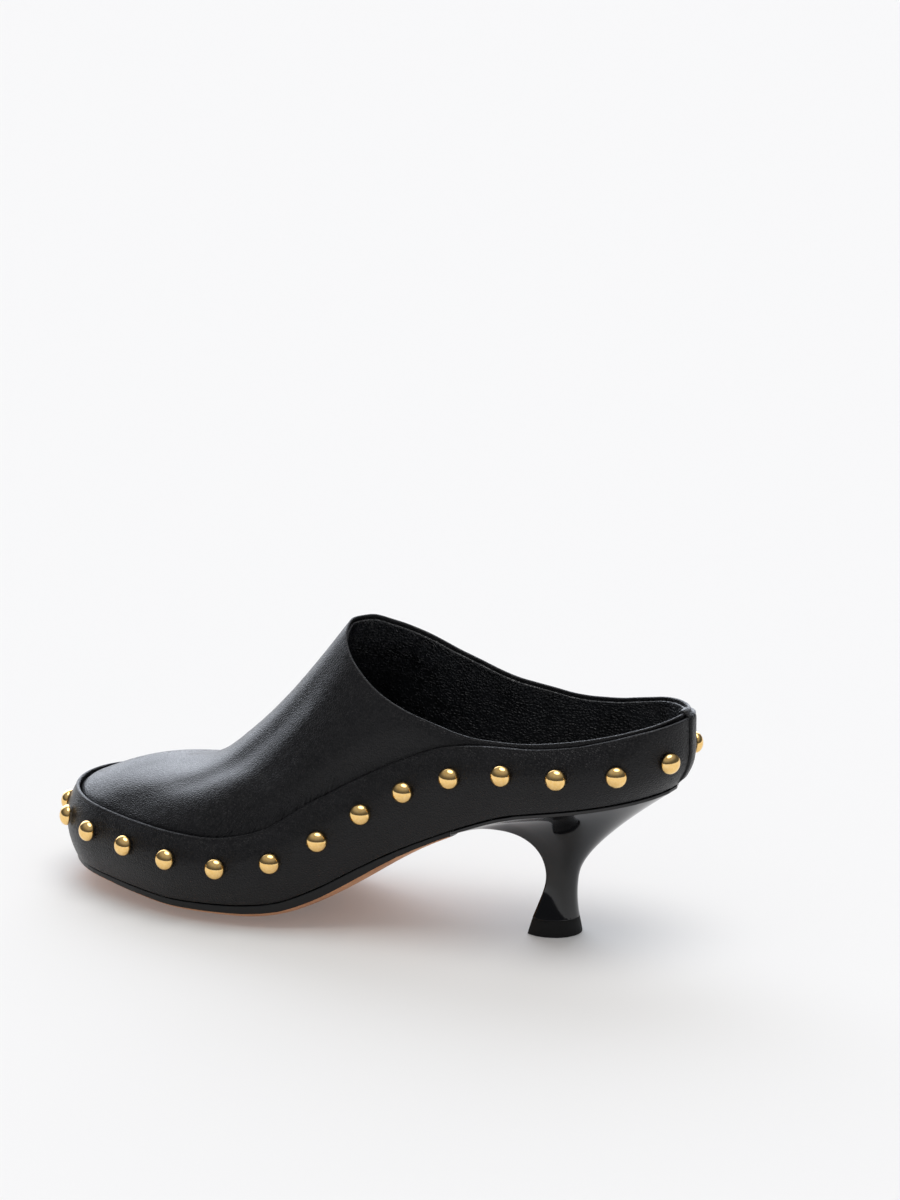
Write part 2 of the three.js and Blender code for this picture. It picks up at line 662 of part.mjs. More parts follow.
// The shoe, with its origin under the middle of its box, on the floor
const shoe = new THREE.Group();
shoe.add(node('upper', upper(), blackLeather));
shoe.add(node('wall', wall(), blackLeather));
shoe.add(node('back_strip', backStrip(), blackLeather));
shoe.add(node('insole', insole(), lining));
shoe.add(node('outsole', outsole(), tanLeather));
shoe.add(node('heel', heel(), lacquer));
shoe.add(node('heel_tip', heelTip(), rubber));
shoe.add(...studs());
shoe.updateMatrixWorld(true);
const box = new THREE.Box3().setFromObject(shoe, true);
shoe.position.set(-(box.min.x + box.max.x) / 2, -(box.min.y + box.max.y) / 2, -box.min.z);

export default shoe;
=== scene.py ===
# A heeled mule, left shoe, dressed for the render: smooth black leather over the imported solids.
# Everything is in metres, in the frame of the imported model: +X to the back of the heel, +Y to the inner side.
import math

import bmesh
import bpy
import numpy as np
from mathutils import Matrix, Vector


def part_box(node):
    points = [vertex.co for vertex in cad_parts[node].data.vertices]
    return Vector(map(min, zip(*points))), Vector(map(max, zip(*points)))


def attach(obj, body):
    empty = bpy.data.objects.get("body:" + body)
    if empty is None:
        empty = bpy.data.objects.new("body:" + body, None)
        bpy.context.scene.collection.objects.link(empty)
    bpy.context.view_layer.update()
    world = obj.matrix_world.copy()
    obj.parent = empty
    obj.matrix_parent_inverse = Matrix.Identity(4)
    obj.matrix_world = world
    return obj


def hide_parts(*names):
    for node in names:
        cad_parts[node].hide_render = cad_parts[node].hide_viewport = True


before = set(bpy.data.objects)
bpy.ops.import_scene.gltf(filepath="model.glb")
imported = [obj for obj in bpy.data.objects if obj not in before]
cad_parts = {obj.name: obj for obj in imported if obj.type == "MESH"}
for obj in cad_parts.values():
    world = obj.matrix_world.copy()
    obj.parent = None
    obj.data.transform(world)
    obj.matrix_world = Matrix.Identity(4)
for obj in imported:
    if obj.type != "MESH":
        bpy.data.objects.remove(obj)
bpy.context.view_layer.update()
mm = 0.001
shoeLength = 257 * mm
shoeMiddle = 1.7 * mm
print("frame loaded,", len(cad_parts), "nodes")

# Camera of the photograph: a long lens a little above the shoe, on the side of its heel
camera = {
    "place": (0.61022, -1.50430, 0.5808),
    "aim": (-0.3448, 0.8983, -0.2725),
    "lens": 135,
    "sensor": 36,
}
camData = bpy.data.cameras.new("photoCamera")
camData.lens = camera["lens"]
camData.sensor_width = camera["sensor"]
camObject = bpy.data.objects.new("photoCamera", camData)
camObject.location = camera["place"]
camObject.rotation_mode = "QUATERNION"
camObject.rotation_quaternion = Vector(camera["aim"]).to_track_quat("-Z", "Y")
bpy.context.scene.collection.objects.link(camObject)
bpy.context.scene.camera = camObject
bpy.context.scene.view_settings.view_transform = "Standard"


# Colours and nodes
def linear(hexCode):
    values = [int(hexCode[i:i + 2], 16) / 255 for i in (1, 3, 5)]
    return [v / 12.92 if v <= 0.04045 else ((v + 0.055) / 1.055) ** 2.4 for v in values] + [1.0]


def startMaterial(name):
    material = bpy.data.materials.new(name)
    material.use_nodes = True
    tree = material.node_tree
    shader = tree.nodes["Principled BSDF"]
    place = tree.nodes.new("ShaderNodeTexCoord")
    return material, tree, shader, place.outputs["Object"]


def addNode(tree, kind, links=None, **settings):
    node = tree.nodes.new(kind)
    for key, value in settings.items():
        if hasattr(node, key):
            setattr(node, key, value)
        else:
            node.inputs[key.replace("_", " ")].default_value = value
    for key, source in (links or {}).items():
        tree.links.new(source, node.inputs[key])
    return node


def rampNode(tree, source, stops):
    ramp = addNode(tree, "ShaderNodeValToRGB", {"Fac": source})
    line = ramp.color_ramp
    line.elements[0].position, line.elements[0].color = stops[0]
    line.elements[1].position, line.elements[1].color = stops[-1]
    for position, colour in stops[1:-1]:
        line.elements.new(position).color = colour
    return ramp.outputs["Color"]


# Box calf: smooth chrome-tanned leather, finished and brushed. Its pores break up a broad soft sheen. The
# real ones are finer: they are drawn about a millimetre apart, so that they show.
calf = {
    "deep": "#08080a", "light": "#101013", "roughness": (0.34, 0.42), "poreSize": 1.0 * mm,
    "poreDepth": 0.16 * mm, "bump": 0.9, "patchSize": 18 * mm, "specular": 0.26, "coat": 0.10,
}
# How the grain of every leather is drawn. The two scales are counted per pore.
grain = {
    "patchDetail": 3.0, "stirDetail": 1.0, "stirScale": 0.25, "fineDetail": 2.0, "fineScale": 1.6,
    "netEdge": 0.35, "colourFrom": 0.3, "colourTo": 0.75, "roughFrom": 0.3, "roughTo": 0.7,
    "coatRough": 0.18,
}
gatherLook = {"wide": 1.5 * mm, "long": 9 * mm, "depth": 1.3 * mm, "detail": 2.0}  # coarser than real ones


# Gathers: short fine wrinkles that stand square to the seam, where the mesh's own gather value asks for them
def gatherNodes(tree, look, normal):
    mask = addNode(tree, "ShaderNodeAttribute", attribute_name="gather")
    way = addNode(tree, "ShaderNodeAttribute", attribute_name="seamWay")
    scaled = addNode(tree, "ShaderNodeVectorMath", {0: way.outputs["Vector"]}, operation="MULTIPLY")
    scaled.inputs[1].default_value = (1 / look["wide"], 1 / look["long"], 1)
    wrinkles = addNode(tree, "ShaderNodeTexNoise", {"Vector": scaled.outputs["Vector"]}, Scale=1.0,
                       Detail=look["detail"])
    height = addNode(tree, "ShaderNodeMath", {0: wrinkles.outputs["Fac"], 1: mask.outputs["Fac"]},
                     operation="MULTIPLY")
    ridges = addNode(tree, "ShaderNodeBump", {"Height": height.outputs["Value"], "Normal": normal},
                     Distance=look["depth"])
    return ridges.outputs["Normal"]


def leatherMaterial(name, look, gathers=None):
    material, tree, shader, place = startMaterial(name)
    pore = look["poreSize"]
    patches = addNode(tree, "ShaderNodeTexNoise", {"Vector": place}, Scale=1 / look["patchSize"],
                      Detail=grain["patchDetail"])
    stir = addNode(tree, "ShaderNodeTexNoise", {"Vector": place}, Scale=grain["stirScale"] / pore,
                   Detail=grain["stirDetail"])
    bent = addNode(tree, "ShaderNodeVectorMath", {0: stir.outputs["Color"], 2: place},
                   operation="MULTIPLY_ADD")
    bent.inputs[1].default_value = (pore,) * 3
    pores = addNode(tree, "ShaderNodeTexVoronoi", {"Vector": bent.outputs["Vector"]}, Scale=1 / pore,
                    feature="DISTANCE_TO_EDGE")
    net = addNode(tree, "ShaderNodeMapRange", {"Value": pores.outputs["Distance"]}, From_Max=grain["netEdge"],
                  interpolation_type="SMOOTHSTEP")
    fine = addNode(tree, "ShaderNodeTexNoise", {"Vector": place}, Scale=grain["fineScale"] / pore,
                   Detail=grain["fineDetail"])
    colour = rampNode(tree, patches.outputs["Fac"], [
        (grain["colourFrom"], linear(look["deep"])), (grain["colourTo"], linear(look["light"]))])
    tree.links.new(colour, shader.inputs["Base Color"])
    low, high = look["roughness"]
    rough = addNode(tree, "ShaderNodeMapRange", {"Value": patches.outputs["Fac"]},
                    From_Min=grain["roughFrom"], From_Max=grain["roughTo"], To_Min=low, To_Max=high)
    tree.links.new(rough.outputs["Result"], shader.inputs["Roughness"])
    height = addNode(tree, "ShaderNodeMath", {0: net.outputs["Result"], 1: fine.outputs["Fac"]},
                     operation="ADD")
    bump = addNode(tree, "ShaderNodeBump", {"Height": height.outputs["Value"]}, Strength=look["bump"],
                   Distance=look["poreDepth"])
    normal = bump.outputs["Normal"]
    if gathers:
        normal = gatherNodes(tree, gathers, normal)
    tree.links.new(normal, shader.inputs["Normal"])
    shader.inputs["Specular IOR Level"].default_value = look["specular"]
    shader.inputs["Coat Weight"].default_value = look["coat"]
    shader.inputs["Coat Roughness"].default_value = grain["coatRough"]
    return material


calfLeather = leatherMaterial("boxCalfLeather", calf, gatherLook)

# Lining: pebbled goatskin, each pebble about a millimetre, glazed, with a sheen on its crowns
goat = {
    "deep": "#121315", "light": "#202226", "roughness": (0.24, 0.36), "poreSize": 1.25 * mm,
    "poreDepth": 0.30 * mm, "bump": 0.85, "patchSize": 9 * mm, "specular": 0.7, "coat": 0.25,
}
goatLining = leatherMaterial("goatskinLining", goat)


# Sole leather: vegetable-tanned, sealed, with fibres along the shoe and a slightly darker patchiness
soleLook = {
    "deep": "#b0774f", "mid": "#c98f64", "light": "#d6a077", "stops": (0.35, 0.5, 0.65), "roughness": 0.48,
    "fibre": 0.6 * mm, "fibreDetail": 4.0, "stretch": 0.25, "patches": 60.0, "patchDetail": 3.0,
    "bump": 0.2, "bumpDepth": 0.05 * mm,
}


def soleMaterial(look):
    material, tree, shader, place = startMaterial("vegetableTannedSole")
    stretch = addNode(tree, "ShaderNodeMapping", {"Vector": place})
    stretch.inputs["Scale"].default_value = (look["stretch"], 1, 1)
    fibres = addNode(tree, "ShaderNodeTexNoise", {"Vector": stretch.outputs["Vector"]},
                     Scale=1 / look["fibre"], Detail=look["fibreDetail"])
    patches = addNode(tree, "ShaderNodeTexNoise", {"Vector": place}, Scale=look["patches"],
                      Detail=look["patchDetail"])
    both = addNode(tree, "ShaderNodeMath", {0: fibres.outputs["Fac"], 1: patches.outputs["Fac"]},
                   operation="ADD")
    half = addNode(tree, "ShaderNodeMath", {0: both.outputs["Value"]}, operation="MULTIPLY")
    half.inputs[1].default_value = 0.5
    tones = [linear(look[key]) for key in ("deep", "mid", "light")]
    colour = rampNode(tree, half.outputs["Value"], list(zip(look["stops"], tones)))
    tree.links.new(colour, shader.inputs["Base Color"])
    shader.inputs["Roughness"].default_value = look["roughness"]
    bump = addNode(tree, "ShaderNodeBump", {"Height": fibres.outputs["Fac"]}, Strength=look["bump"],
                   Distance=look["bumpDepth"])
    tree.links.new(bump.outputs["Normal"], shader.inputs["Normal"])
    return material


soleLeather = soleMaterial(soleLook)

# Dyed and waxed edge of the sole: burnished black, a little uneven
edgeLook = dict(calf, deep="#0a0a0b", light="#151516", roughness=(0.28, 0.42), poreSize=0.5 * mm, bump=0.15)
edgeDye = leatherMaterial("waxedBlackEdge", edgeLook)


# Lacquer: sprayed and polished over a moulded heel, with a faint orange peel
lacquerLook = {
    "colour": "#09090b", "roughness": 0.05, "dustier": 0.04, "dust": 220.0, "dustDetail": 2.0,
    "peelSize": 2.5 * mm, "peelDetail": 1.0, "peelDepth": 0.012 * mm, "bump": 0.3,
}


def lacquerMaterial(look):
    material, tree, shader, place = startMaterial("polishedBlackLacquer")
    peel = addNode(tree, "ShaderNodeTexNoise", {"Vector": place}, Scale=1 / look["peelSize"],
                   Detail=look["peelDetail"])
    dust = addNode(tree, "ShaderNodeTexNoise", {"Vector": place}, Scale=look["dust"],
                   Detail=look["dustDetail"])
    rough = addNode(tree, "ShaderNodeMapRange", {"Value": dust.outputs["Fac"]}, To_Min=look["roughness"],
                    To_Max=look["roughness"] + look["dustier"])
    tree.links.new(rough.outputs["Result"], shader.inputs["Roughness"])
    bump = addNode(tree, "ShaderNodeBump", {"Height": peel.outputs["Fac"]}, Strength=look["bump"],
                   Distance=look["peelDepth"])
    tree.links.new(bump.outputs["Normal"], shader.inputs["Normal"])
    shader.inputs["Base Color"].default_value = linear(look["colour"])
    return material


blackLacquer = lacquerMaterial(lacquerLook)

# Top piece: moulded rubber, matt, with a fine sanded tooth
rubberLook = dict(calf, deep="#0b0b0b", light="#161616", roughness=(0.62, 0.78), poreSize=0.45 * mm, bump=0.3,
                  specular=0.35, coat=0.0)
heelRubber = leatherMaterial("sandedRubber", rubberLook)


# Stud metal: brass, pressed, polished and gold plated. Fine polishing marks widen its highlights a little.
brassLook = {
    "colour": "#fcd796", "deep": "#f5c878", "stops": (0.3, 0.7), "roughness": (0.05, 0.10),
    "markSize": 0.8 * mm, "markDetail": 3.0,
}


def brassMaterial(look):
    material, tree, shader, place = startMaterial("goldPlatedBrass")
    marks = addNode(tree, "ShaderNodeTexNoise", {"Vector": place}, Scale=1 / look["markSize"],
                    Detail=look["markDetail"])
    tones = [linear(look[key]) for key in ("deep", "colour")]
    colour = rampNode(tree, marks.outputs["Fac"], list(zip(look["stops"], tones)))
    tree.links.new(colour, shader.inputs["Base Color"])
    low, high = look["roughness"]
    rough = addNode(tree, "ShaderNodeMapRange", {"Value": marks.outputs["Fac"]}, To_Min=low, To_Max=high)
    tree.links.new(rough.outputs["Result"], shader.inputs["Roughness"])
    shader.inputs["Metallic"].default_value = 1.0
    return material


goldBrass = brassMaterial(brassLook)
print("materials made")


# Copies of the solids, whose loose triangles are first joined at their corners
weld = 0.002 * mm


def deselectAll():
    for item in bpy.context.selected_objects:
        item.select_set(False)


def makeActive(item):
    deselectAll()
    item.select_set(True)
    bpy.context.view_layer.objects.active = item


def copyNode(nodeName, name):
    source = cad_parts[nodeName]
    piece = bpy.data.objects.new(name, source.data.copy())
    bpy.context.scene.collection.objects.link(piece)
    piece.data.materials.clear()
    makeActive(piece)
    bpy.ops.object.mode_set(mode="EDIT")
    bpy.ops.mesh.select_all(action="SELECT")
    bpy.ops.mesh.remove_doubles(threshold=weld)
    bpy.ops.object.mode_set(mode="OBJECT")
    return piece


def finishPiece(piece, nodes, material=None):
    if material:
        piece.data.materials.append(material)
    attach(piece, "root")
    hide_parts(*nodes)


def applyAll(piece):
    makeActive(piece)
    for modifier in list(piece.modifiers):
        bpy.ops.object.modifier_apply(modifier=modifier.name)


# A band of leather is a grid that closes both ways. Walking straight on over its points gives its lines. Six
# edges meet at each point, so straight on is the third edge round.
def straightOn(vert, edge):
    face = edge.link_faces[0]
    for step in range(3):
        edge = next(e for e in face.edges if vert in e.verts and e != edge)
        face = next(f for f in edge.link_faces if f != face)
    return edge


def walk(vert, edge):
    line = [vert]
    here = edge.other_vert(vert)
    while here != line[0]:
        line.append(here)
        edge = straightOn(here, edge)
        here = edge.other_vert(here)
    return line


middleWeight = 0.3  # draws the start of a band's lines to the middle of the back


def readBand(nodeName, around, rows):
    piece = copyNode(nodeName, nodeName + "Lines")
    band = bmesh.new()
    band.from_mesh(piece.data)
    band.verts.ensure_lookup_table()
    first = max(band.verts, key=lambda v: v.co.x - middleWeight * abs(v.co.y))
    ring = next(line for line in (walk(first, e) for e in first.link_edges) if len(line) == rows)
    lines = []
    for vert in ring:
        found = [line for line in (walk(vert, e) for e in vert.link_edges) if len(line) == around]
        found.sort(key=lambda line: line[3].co.y)
        lines.append([tuple(v.co) for v in found[0]])
    band.free()
    bpy.data.objects.remove(piece)
    return np.array(lines).transpose(1, 0, 2)


def perimeter(points):
    return np.linalg.norm(np.roll(points, -1, axis=0) - points, axis=1).sum()


# Start each ring at the outer foot and go up the outside
def orderRows(grid):
    rows = grid.shape[1]
    levels = grid[:, :, 2].mean(axis=0)
    low = sorted(range(rows), key=lambda k: levels[k])[:2]
    start = max(low, key=lambda k: perimeter(grid[:, k]))
    turned = np.roll(grid, -start, axis=1)
    if turned[:, 1, 2].mean() < turned[:, -1, 2].mean():
        turned = np.roll(turned[:, ::-1], 1, axis=1)
    return turned


# Smooth points between the given ones, along the first axis
def smoothRows(points, steps, closed):
    count = len(points)
    if closed:
        padded = np.concatenate([points[-1:], points, points[:2]])
        spans = count
    else:
        padded = np.concatenate([2 * points[:1] - points[1:2], points, 2 * points[-1:] - points[-2:-1]])
        spans = count - 1
    made = []
    for i in range(spans):
        a, b, c, d = padded[i:i + 4]
        for k in range(steps):
            t = k / steps
            made.append(0.5 * (2 * b + (c - a) * t + (2 * a - 5 * b + 4 * c - d) * t ** 2
                               + (3 * b - a - 3 * c + d) * t ** 3))
    if not closed:
        made.append(points[-1])
    return np.array(made)


# Points at given distances along each line of a grid, lines along the second axis
def alongLines(grid, ways):
    made = np.empty((grid.shape[0], ways.shape[1], 3))
    for i, line in enumerate(grid):
        run = np.concatenate([[0], np.cumsum(np.linalg.norm(np.diff(line, axis=0), axis=1))])
        for axis in range(3):
            made[i, :, axis] = np.interp(ways[i], run, line[:, axis])
    return made


def lineLengths(grid):
    return np.linalg.norm(np.diff(grid, axis=1), axis=2).sum(axis=1)


def unit(vectors):
    return vectors / np.maximum(np.linalg.norm(vectors, axis=-1, keepdims=True), 1e-12)


def shareOf(points):
    return 0.5 - (points[..., 0] - shoeMiddle) / shoeLength


def ease(value, low, high):
    t = np.clip((value - low) / (high - low), 0, 1)
    return t * t * (3 - 2 * t)


# Folds, listed: soft troughs pressed into a grid of points along short paths on the shoe, in millimetres
def pressFolds(face, folds):
    along = np.roll(face, -1, axis=0) - np.roll(face, 1, axis=0)
    outward = unit(np.cross(along, np.gradient(face, axis=1)))
    side = np.sign(np.einsum("ijk,ijk->ij", outward, face - face.mean(axis=(0, 1))))
    outward = outward * side[..., None]
    for fold in folds.values():
        path = np.array(fold["path"]) * mm
        away = np.ones(face.shape[:2])
        for start, end in zip(path[:-1], path[1:]):
            run = end - start
            share = np.clip(((face - start) @ run) / (run @ run), 0, 1)
            away = np.minimum(away, np.linalg.norm(face - start - share[..., None] * run, axis=-1))
        face = face - outward * (fold["deep"] * np.exp(-(away / fold["wide"]) ** 2))[..., None]
    return face


# A closed band from rows of points that each run right round the shoe
def bandPiece(name, rows, sharpAngle=50):
    rows = np.array(rows)
    count, around = rows.shape[:2]
    index = np.arange(count * around).reshape(count, around)
    nextRow, nextRound = np.roll(index, -1, axis=0), np.roll(index, -1, axis=1)
    both = np.roll(nextRow, -1, axis=1)
    faces = np.stack([index, nextRound, both, nextRow], axis=-1).reshape(-1, 4)
    points = rows.reshape(-1, 3)
    a, b, c = points[faces[:, 0]], points[faces[:, 1]], points[faces[:, 2]]
    if np.einsum("ij,ij->i", a, np.cross(b, c)).sum() < 0:
        faces = faces[:, ::-1]
    mesh = bpy.data.meshes.new(name)
    mesh.from_pydata(points.tolist(), [], faces.tolist())
    piece = bpy.data.objects.new(name, mesh)
    bpy.context.scene.collection.objects.link(piece)
    makeActive(piece)
    bpy.ops.object.shade_smooth_by_angle(angle=math.radians(sharpAngle))
    return piece


# Round each section of the upper: 0 its outer foot, 1 to 8 up the outside to the collar, 9 to 16 down the
# inside, 17 its inner foot. Round the wall's: 0 to 6 up the outside, 7 the lip inside, 8 the foot inside.
upperRing = 18
wallRing = 9
around = 84
fineAround = 6
upperGrid = orderRows(readBand("upper", around, upperRing))
wallGrid = orderRows(readBand("wall", around, wallRing))
upperLines = smoothRows(upperGrid, fineAround, True)
wallLines = smoothRows(wallGrid, fineAround, True)
print("lines read from the solids,", upperLines.shape, wallLines.shape)

# Wall: a barrel with a rolled top edge, crisp at the toe and flatter along the side
wallShape = {
    "roll": 0.85 * mm, "rollSide": 0.45 * mm, "rollSteps": 9, "toeFrom": 0.60, "toeTo": 0.68, "fine": 4,
    "hidden": (0.08, 0.5, 1.0),
}


def buildWall():
    outside = smoothRows(wallLines[:, :7].transpose(1, 0, 2), wallShape["fine"], False).transpose(1, 0, 2)
    lipOuter, lipInner, footInner = wallLines[:, 6], wallLines[:, 7], wallLines[:, 8]
    share = shareOf(lipOuter)[:, None]
    toe = ease(share, wallShape["toeFrom"], wallShape["toeTo"])
    roll = wallShape["rollSide"] + (wallShape["roll"] - wallShape["rollSide"]) * toe
    rows = [outside[:, k] for k in range(outside.shape[1] - 1)]
    middle, half = (lipOuter + lipInner) / 2, (lipOuter - lipInner) / 2
    for k in range(wallShape["rollSteps"] + 1):
        angle = math.pi * k / wallShape["rollSteps"]
        point = middle + half * math.cos(angle)
        point[:, 2:] += roll * math.sin(angle)
        rows.append(point)
    rows += [lipInner * (1 - t) + footInner * t for t in wallShape["hidden"]]
    return bandPiece("wallBand", rows)


wallBand = buildWall()
finishPiece(wallBand, ["wall"], calfLeather)

# Upper: vamp and quarters in one, dipping into a groove behind the wall's roll, folded over at the collar
upperShape = {
    "rows": 54, "groove": 0.9 * mm, "grooveWide": 1.3 * mm, "grooveSide": 0.15 * mm, "grooveBack": 0.5 * mm,
    "toeFrom": 0.60, "toeTo": 0.70, "backFrom": 0.30, "backTo": 0.40, "depthLimit": 0.6, "fine": 6,
    "fold": 0.6 * mm, "foldSteps": 7, "slot": 1.9 * mm, "hiddenRows": 14, "hiddenFrom": 3 * mm,
}
upperFolds = {
    "hollowAtBall": {
        "path": ((-20, -35, 48), (-6, -32, 57), (8, -28, 66)), "wide": 5 * mm, "deep": 0.45 * mm},
    "quarterBend": {
        "path": ((16, -26, 70), (30, -25.5, 77), (46, -25.5, 80)), "wide": 6 * mm, "deep": 0.35 * mm},
    "collarPucker": {
        "path": ((119, -14, 86.5), (122.6, -11, 88.5), (125, -7, 91)), "wide": 1.5 * mm, "deep": 0.45 * mm},
    "backPucker": {
        "path": ((122, -12, 84), (125, -7, 87)), "wide": 1.3 * mm, "deep": 0.30 * mm},
}
gatherShape = {"from": 0.49, "to": 0.76, "fade": 0.05, "reach": 11 * mm}
collarOuter, collarInner = upperLines[:, 8], upperLines[:, 9]
inward = unit(collarInner - collarOuter)


def vampRows():
    profile = smoothRows(upperLines[:, 1:9].transpose(1, 0, 2), upperShape["fine"], False).transpose(1, 0, 2)
    total = lineLengths(profile)
    shares = np.linspace(0, 1, upperShape["rows"])
    ways = np.outer(total, shares)
    face = alongLines(profile, ways)
    share = shareOf(face[:, 0])
    toe = ease(share, upperShape["toeFrom"], upperShape["toeTo"])
    back = 1 - ease(share, upperShape["backFrom"], upperShape["backTo"])
    depth = upperShape["grooveSide"] + (upperShape["groove"] - upperShape["grooveSide"]) * toe
    depth = depth + (upperShape["grooveBack"] - upperShape["grooveSide"]) * back
    depth = np.minimum(depth, upperShape["depthLimit"] * total)
    dip = depth[:, None] * np.exp(-(ways / upperShape["grooveWide"]) ** 2)
    face[:, :, 2] -= dip
    return pressFolds(face, upperFolds)


# Values that the leather's gathers read: how strong they are, and the distances along and away from the seam
def markGathers(piece, rows):
    foot = vamp[:, 0]
    step = np.linalg.norm(np.roll(foot, -1, axis=0) - foot, axis=1)
    along = np.cumsum(step) - step[0]
    away = np.linalg.norm(np.array(rows) - foot[None], axis=2)
    share = shareOf(foot)
    zone = ease(share, gatherShape["from"], gatherShape["from"] + gatherShape["fade"])
    zone = zone * (1 - ease(share, gatherShape["to"] - gatherShape["fade"], gatherShape["to"]))
    strength = zone[None] * np.exp(-(away / gatherShape["reach"]) ** 2)
    ways = np.stack([np.broadcast_to(along, away.shape), away, np.zeros_like(away)], axis=-1)
    piece.data.attributes.new("gather", "FLOAT", "POINT").data.foreach_set("value", strength.ravel())
    piece.data.attributes.new("seamWay", "FLOAT_VECTOR", "POINT").data.foreach_set("vector", ways.ravel())


vamp = vampRows()
upward = unit(vamp[:, -1] - vamp[:, -3])
upward = unit(upward - inward * np.einsum("ij,ij->i", upward, inward)[:, None])


def collarAt(inset, lift):
    return collarOuter + inward * inset + upward * lift


def buildUpper():
    rows = [upperLines[:, 0]] + [vamp[:, k] for k in range(vamp.shape[1])]
    fold = upperShape["fold"]
    for k in range(1, upperShape["foldSteps"] + 1):
        angle = math.pi * k / upperShape["foldSteps"]
        rows.append(collarAt(fold * (1 - math.cos(angle)), fold * math.sin(angle)))
    rows.append(collarAt(2 * fold, -upperShape["slot"]))
    inside = upperLines[:, 1:9] * 0.5 + upperLines[:, 16:8:-1] * 0.5
    inside = np.concatenate([(upperLines[:, 0:1] + upperLines[:, 17:18]) / 2, inside], axis=1)[:, ::-1]
    total = lineLengths(inside)[:, None]
    start = upperShape["hiddenFrom"]
    ways = np.linspace(0, 1, upperShape["hiddenRows"])[None, 1:] * (total - start) + start
    hidden = alongLines(inside, ways)
    rows += [hidden[:, k] for k in range(hidden.shape[1])]
    piece = bandPiece("vampAndQuarters", rows)
    markGathers(piece, rows)
    return piece


upperPiece = buildUpper()
finishPiece(upperPiece, ["upper"], calfLeather)

# Lining: its folded edge stands just inside and below the collar's fold
liningShape = {
    "rows": 40, "bead": 0.45 * mm, "beadSteps": 6, "inset": 1.35 * mm, "drop": 1.2 * mm, "tail": 1.2 * mm,
    "faceFrom": 1.0 * mm, "fine": 5, "hiddenRows": 12, "hiddenFrom": 3 * mm, "outerShare": 0.35,
    "innerShare": 0.65,
}


def buildLining():
    bead, inset, drop = liningShape["bead"], liningShape["inset"], liningShape["drop"]
    rows = [collarAt(inset, -drop - liningShape["tail"])]
    for k in range(liningShape["beadSteps"] + 1):
        angle = math.pi * k / liningShape["beadSteps"]
        rows.append(collarAt(inset + bead * (1 - math.cos(angle)), -drop + bead * math.sin(angle)))
    inner = smoothRows(upperLines[:, 9:17].transpose(1, 0, 2), liningShape["fine"], False)
    inner = np.concatenate([inner, upperLines[:, 17][None]]).transpose(1, 0, 2)
    total = lineLengths(inner)[:, None]
    start = drop + liningShape["faceFrom"]
    ways = start + np.linspace(0, 1, liningShape["rows"])[None, :] * (total - start)
    face = alongLines(inner, ways)
    rows += [face[:, k] for k in range(face.shape[1])]
    outer = upperLines[:, 8::-1]
    half = outer * liningShape["outerShare"] + upperLines[:, 9:18] * liningShape["innerShare"]
    total = lineLengths(half)[:, None]
    start = liningShape["hiddenFrom"]
    back = start + np.linspace(1, 0, liningShape["hiddenRows"])[None, :] * (total - start)
    hidden = alongLines(half, back)
    rows += [hidden[:, k] for k in range(hidden.shape[1])]
    return bandPiece("liningSock", rows)


lining = buildLining()
lining.data.materials.append(goatLining)
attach(lining, "root")
print("upper, lining and wall made")


# Hard pieces: copies with their edges eased
def selectSharp(limit):
    bpy.ops.mesh.select_all(action="DESELECT")
    bpy.ops.mesh.edges_select_sharp(sharpness=math.radians(limit))


# In degrees, but for the segments
easing = {"sharp": 40, "quadFace": 38, "quadShape": 120, "segments": 2, "smooth": 45}


def softCopy(nodeName, name, bevel, levels):
    piece = copyNode(nodeName, name)
    bpy.ops.object.mode_set(mode="EDIT")
    bpy.ops.mesh.select_all(action="SELECT")
    bpy.ops.mesh.tris_convert_to_quads(face_threshold=math.radians(easing["quadFace"]),
                                       shape_threshold=math.radians(easing["quadShape"]))
    selectSharp(easing["sharp"])
    bpy.ops.mesh.bevel(offset=bevel, offset_type="OFFSET", segments=easing["segments"], profile=0.5,
                       affect="EDGES")
    bpy.ops.object.mode_set(mode="OBJECT")
    if levels:
        smooth = piece.modifiers.new("smooth", "SUBSURF")
        smooth.levels = levels
        smooth.render_levels = levels
        applyAll(piece)
    makeActive(piece)
    bpy.ops.object.shade_smooth_by_angle(angle=math.radians(easing["smooth"]))
    return piece


hardPieces = {
    "heel": {"name": "spoolHeel", "bevel": 0.35 * mm, "levels": 2, "slot": "heel_lacquer"},
    "heel_tip": {"name": "topPiece", "bevel": 0.45 * mm, "levels": 1, "slot": "tip_rubber"},
    "insole": {"name": "sockAndBoard", "bevel": 1.2 * mm, "levels": 1, "slot": "lining_leather"},
    "outsole": {"name": "leatherSole", "bevel": 0.35 * mm, "levels": 1, "slot": "sole_leather"},
}
treadNormal = -0.35  # faces of the sole that look down further than this are bare, the rest is its dyed edge
hardMaterials = {"heel": blackLacquer, "heel_tip": heelRubber, "insole": goatLining, "outsole": soleLeather}
for nodeName, look in hardPieces.items():
    hard = softCopy(nodeName, look["name"], look["bevel"], look["levels"])
    finishPiece(hard, [nodeName], hardMaterials[nodeName])
    if nodeName == "outsole":
        hard.data.materials.append(edgeDye)
        for face in hard.data.polygons:
            face.material_index = 0 if face.normal.z < treadNormal else 1
print("heel and sole made")

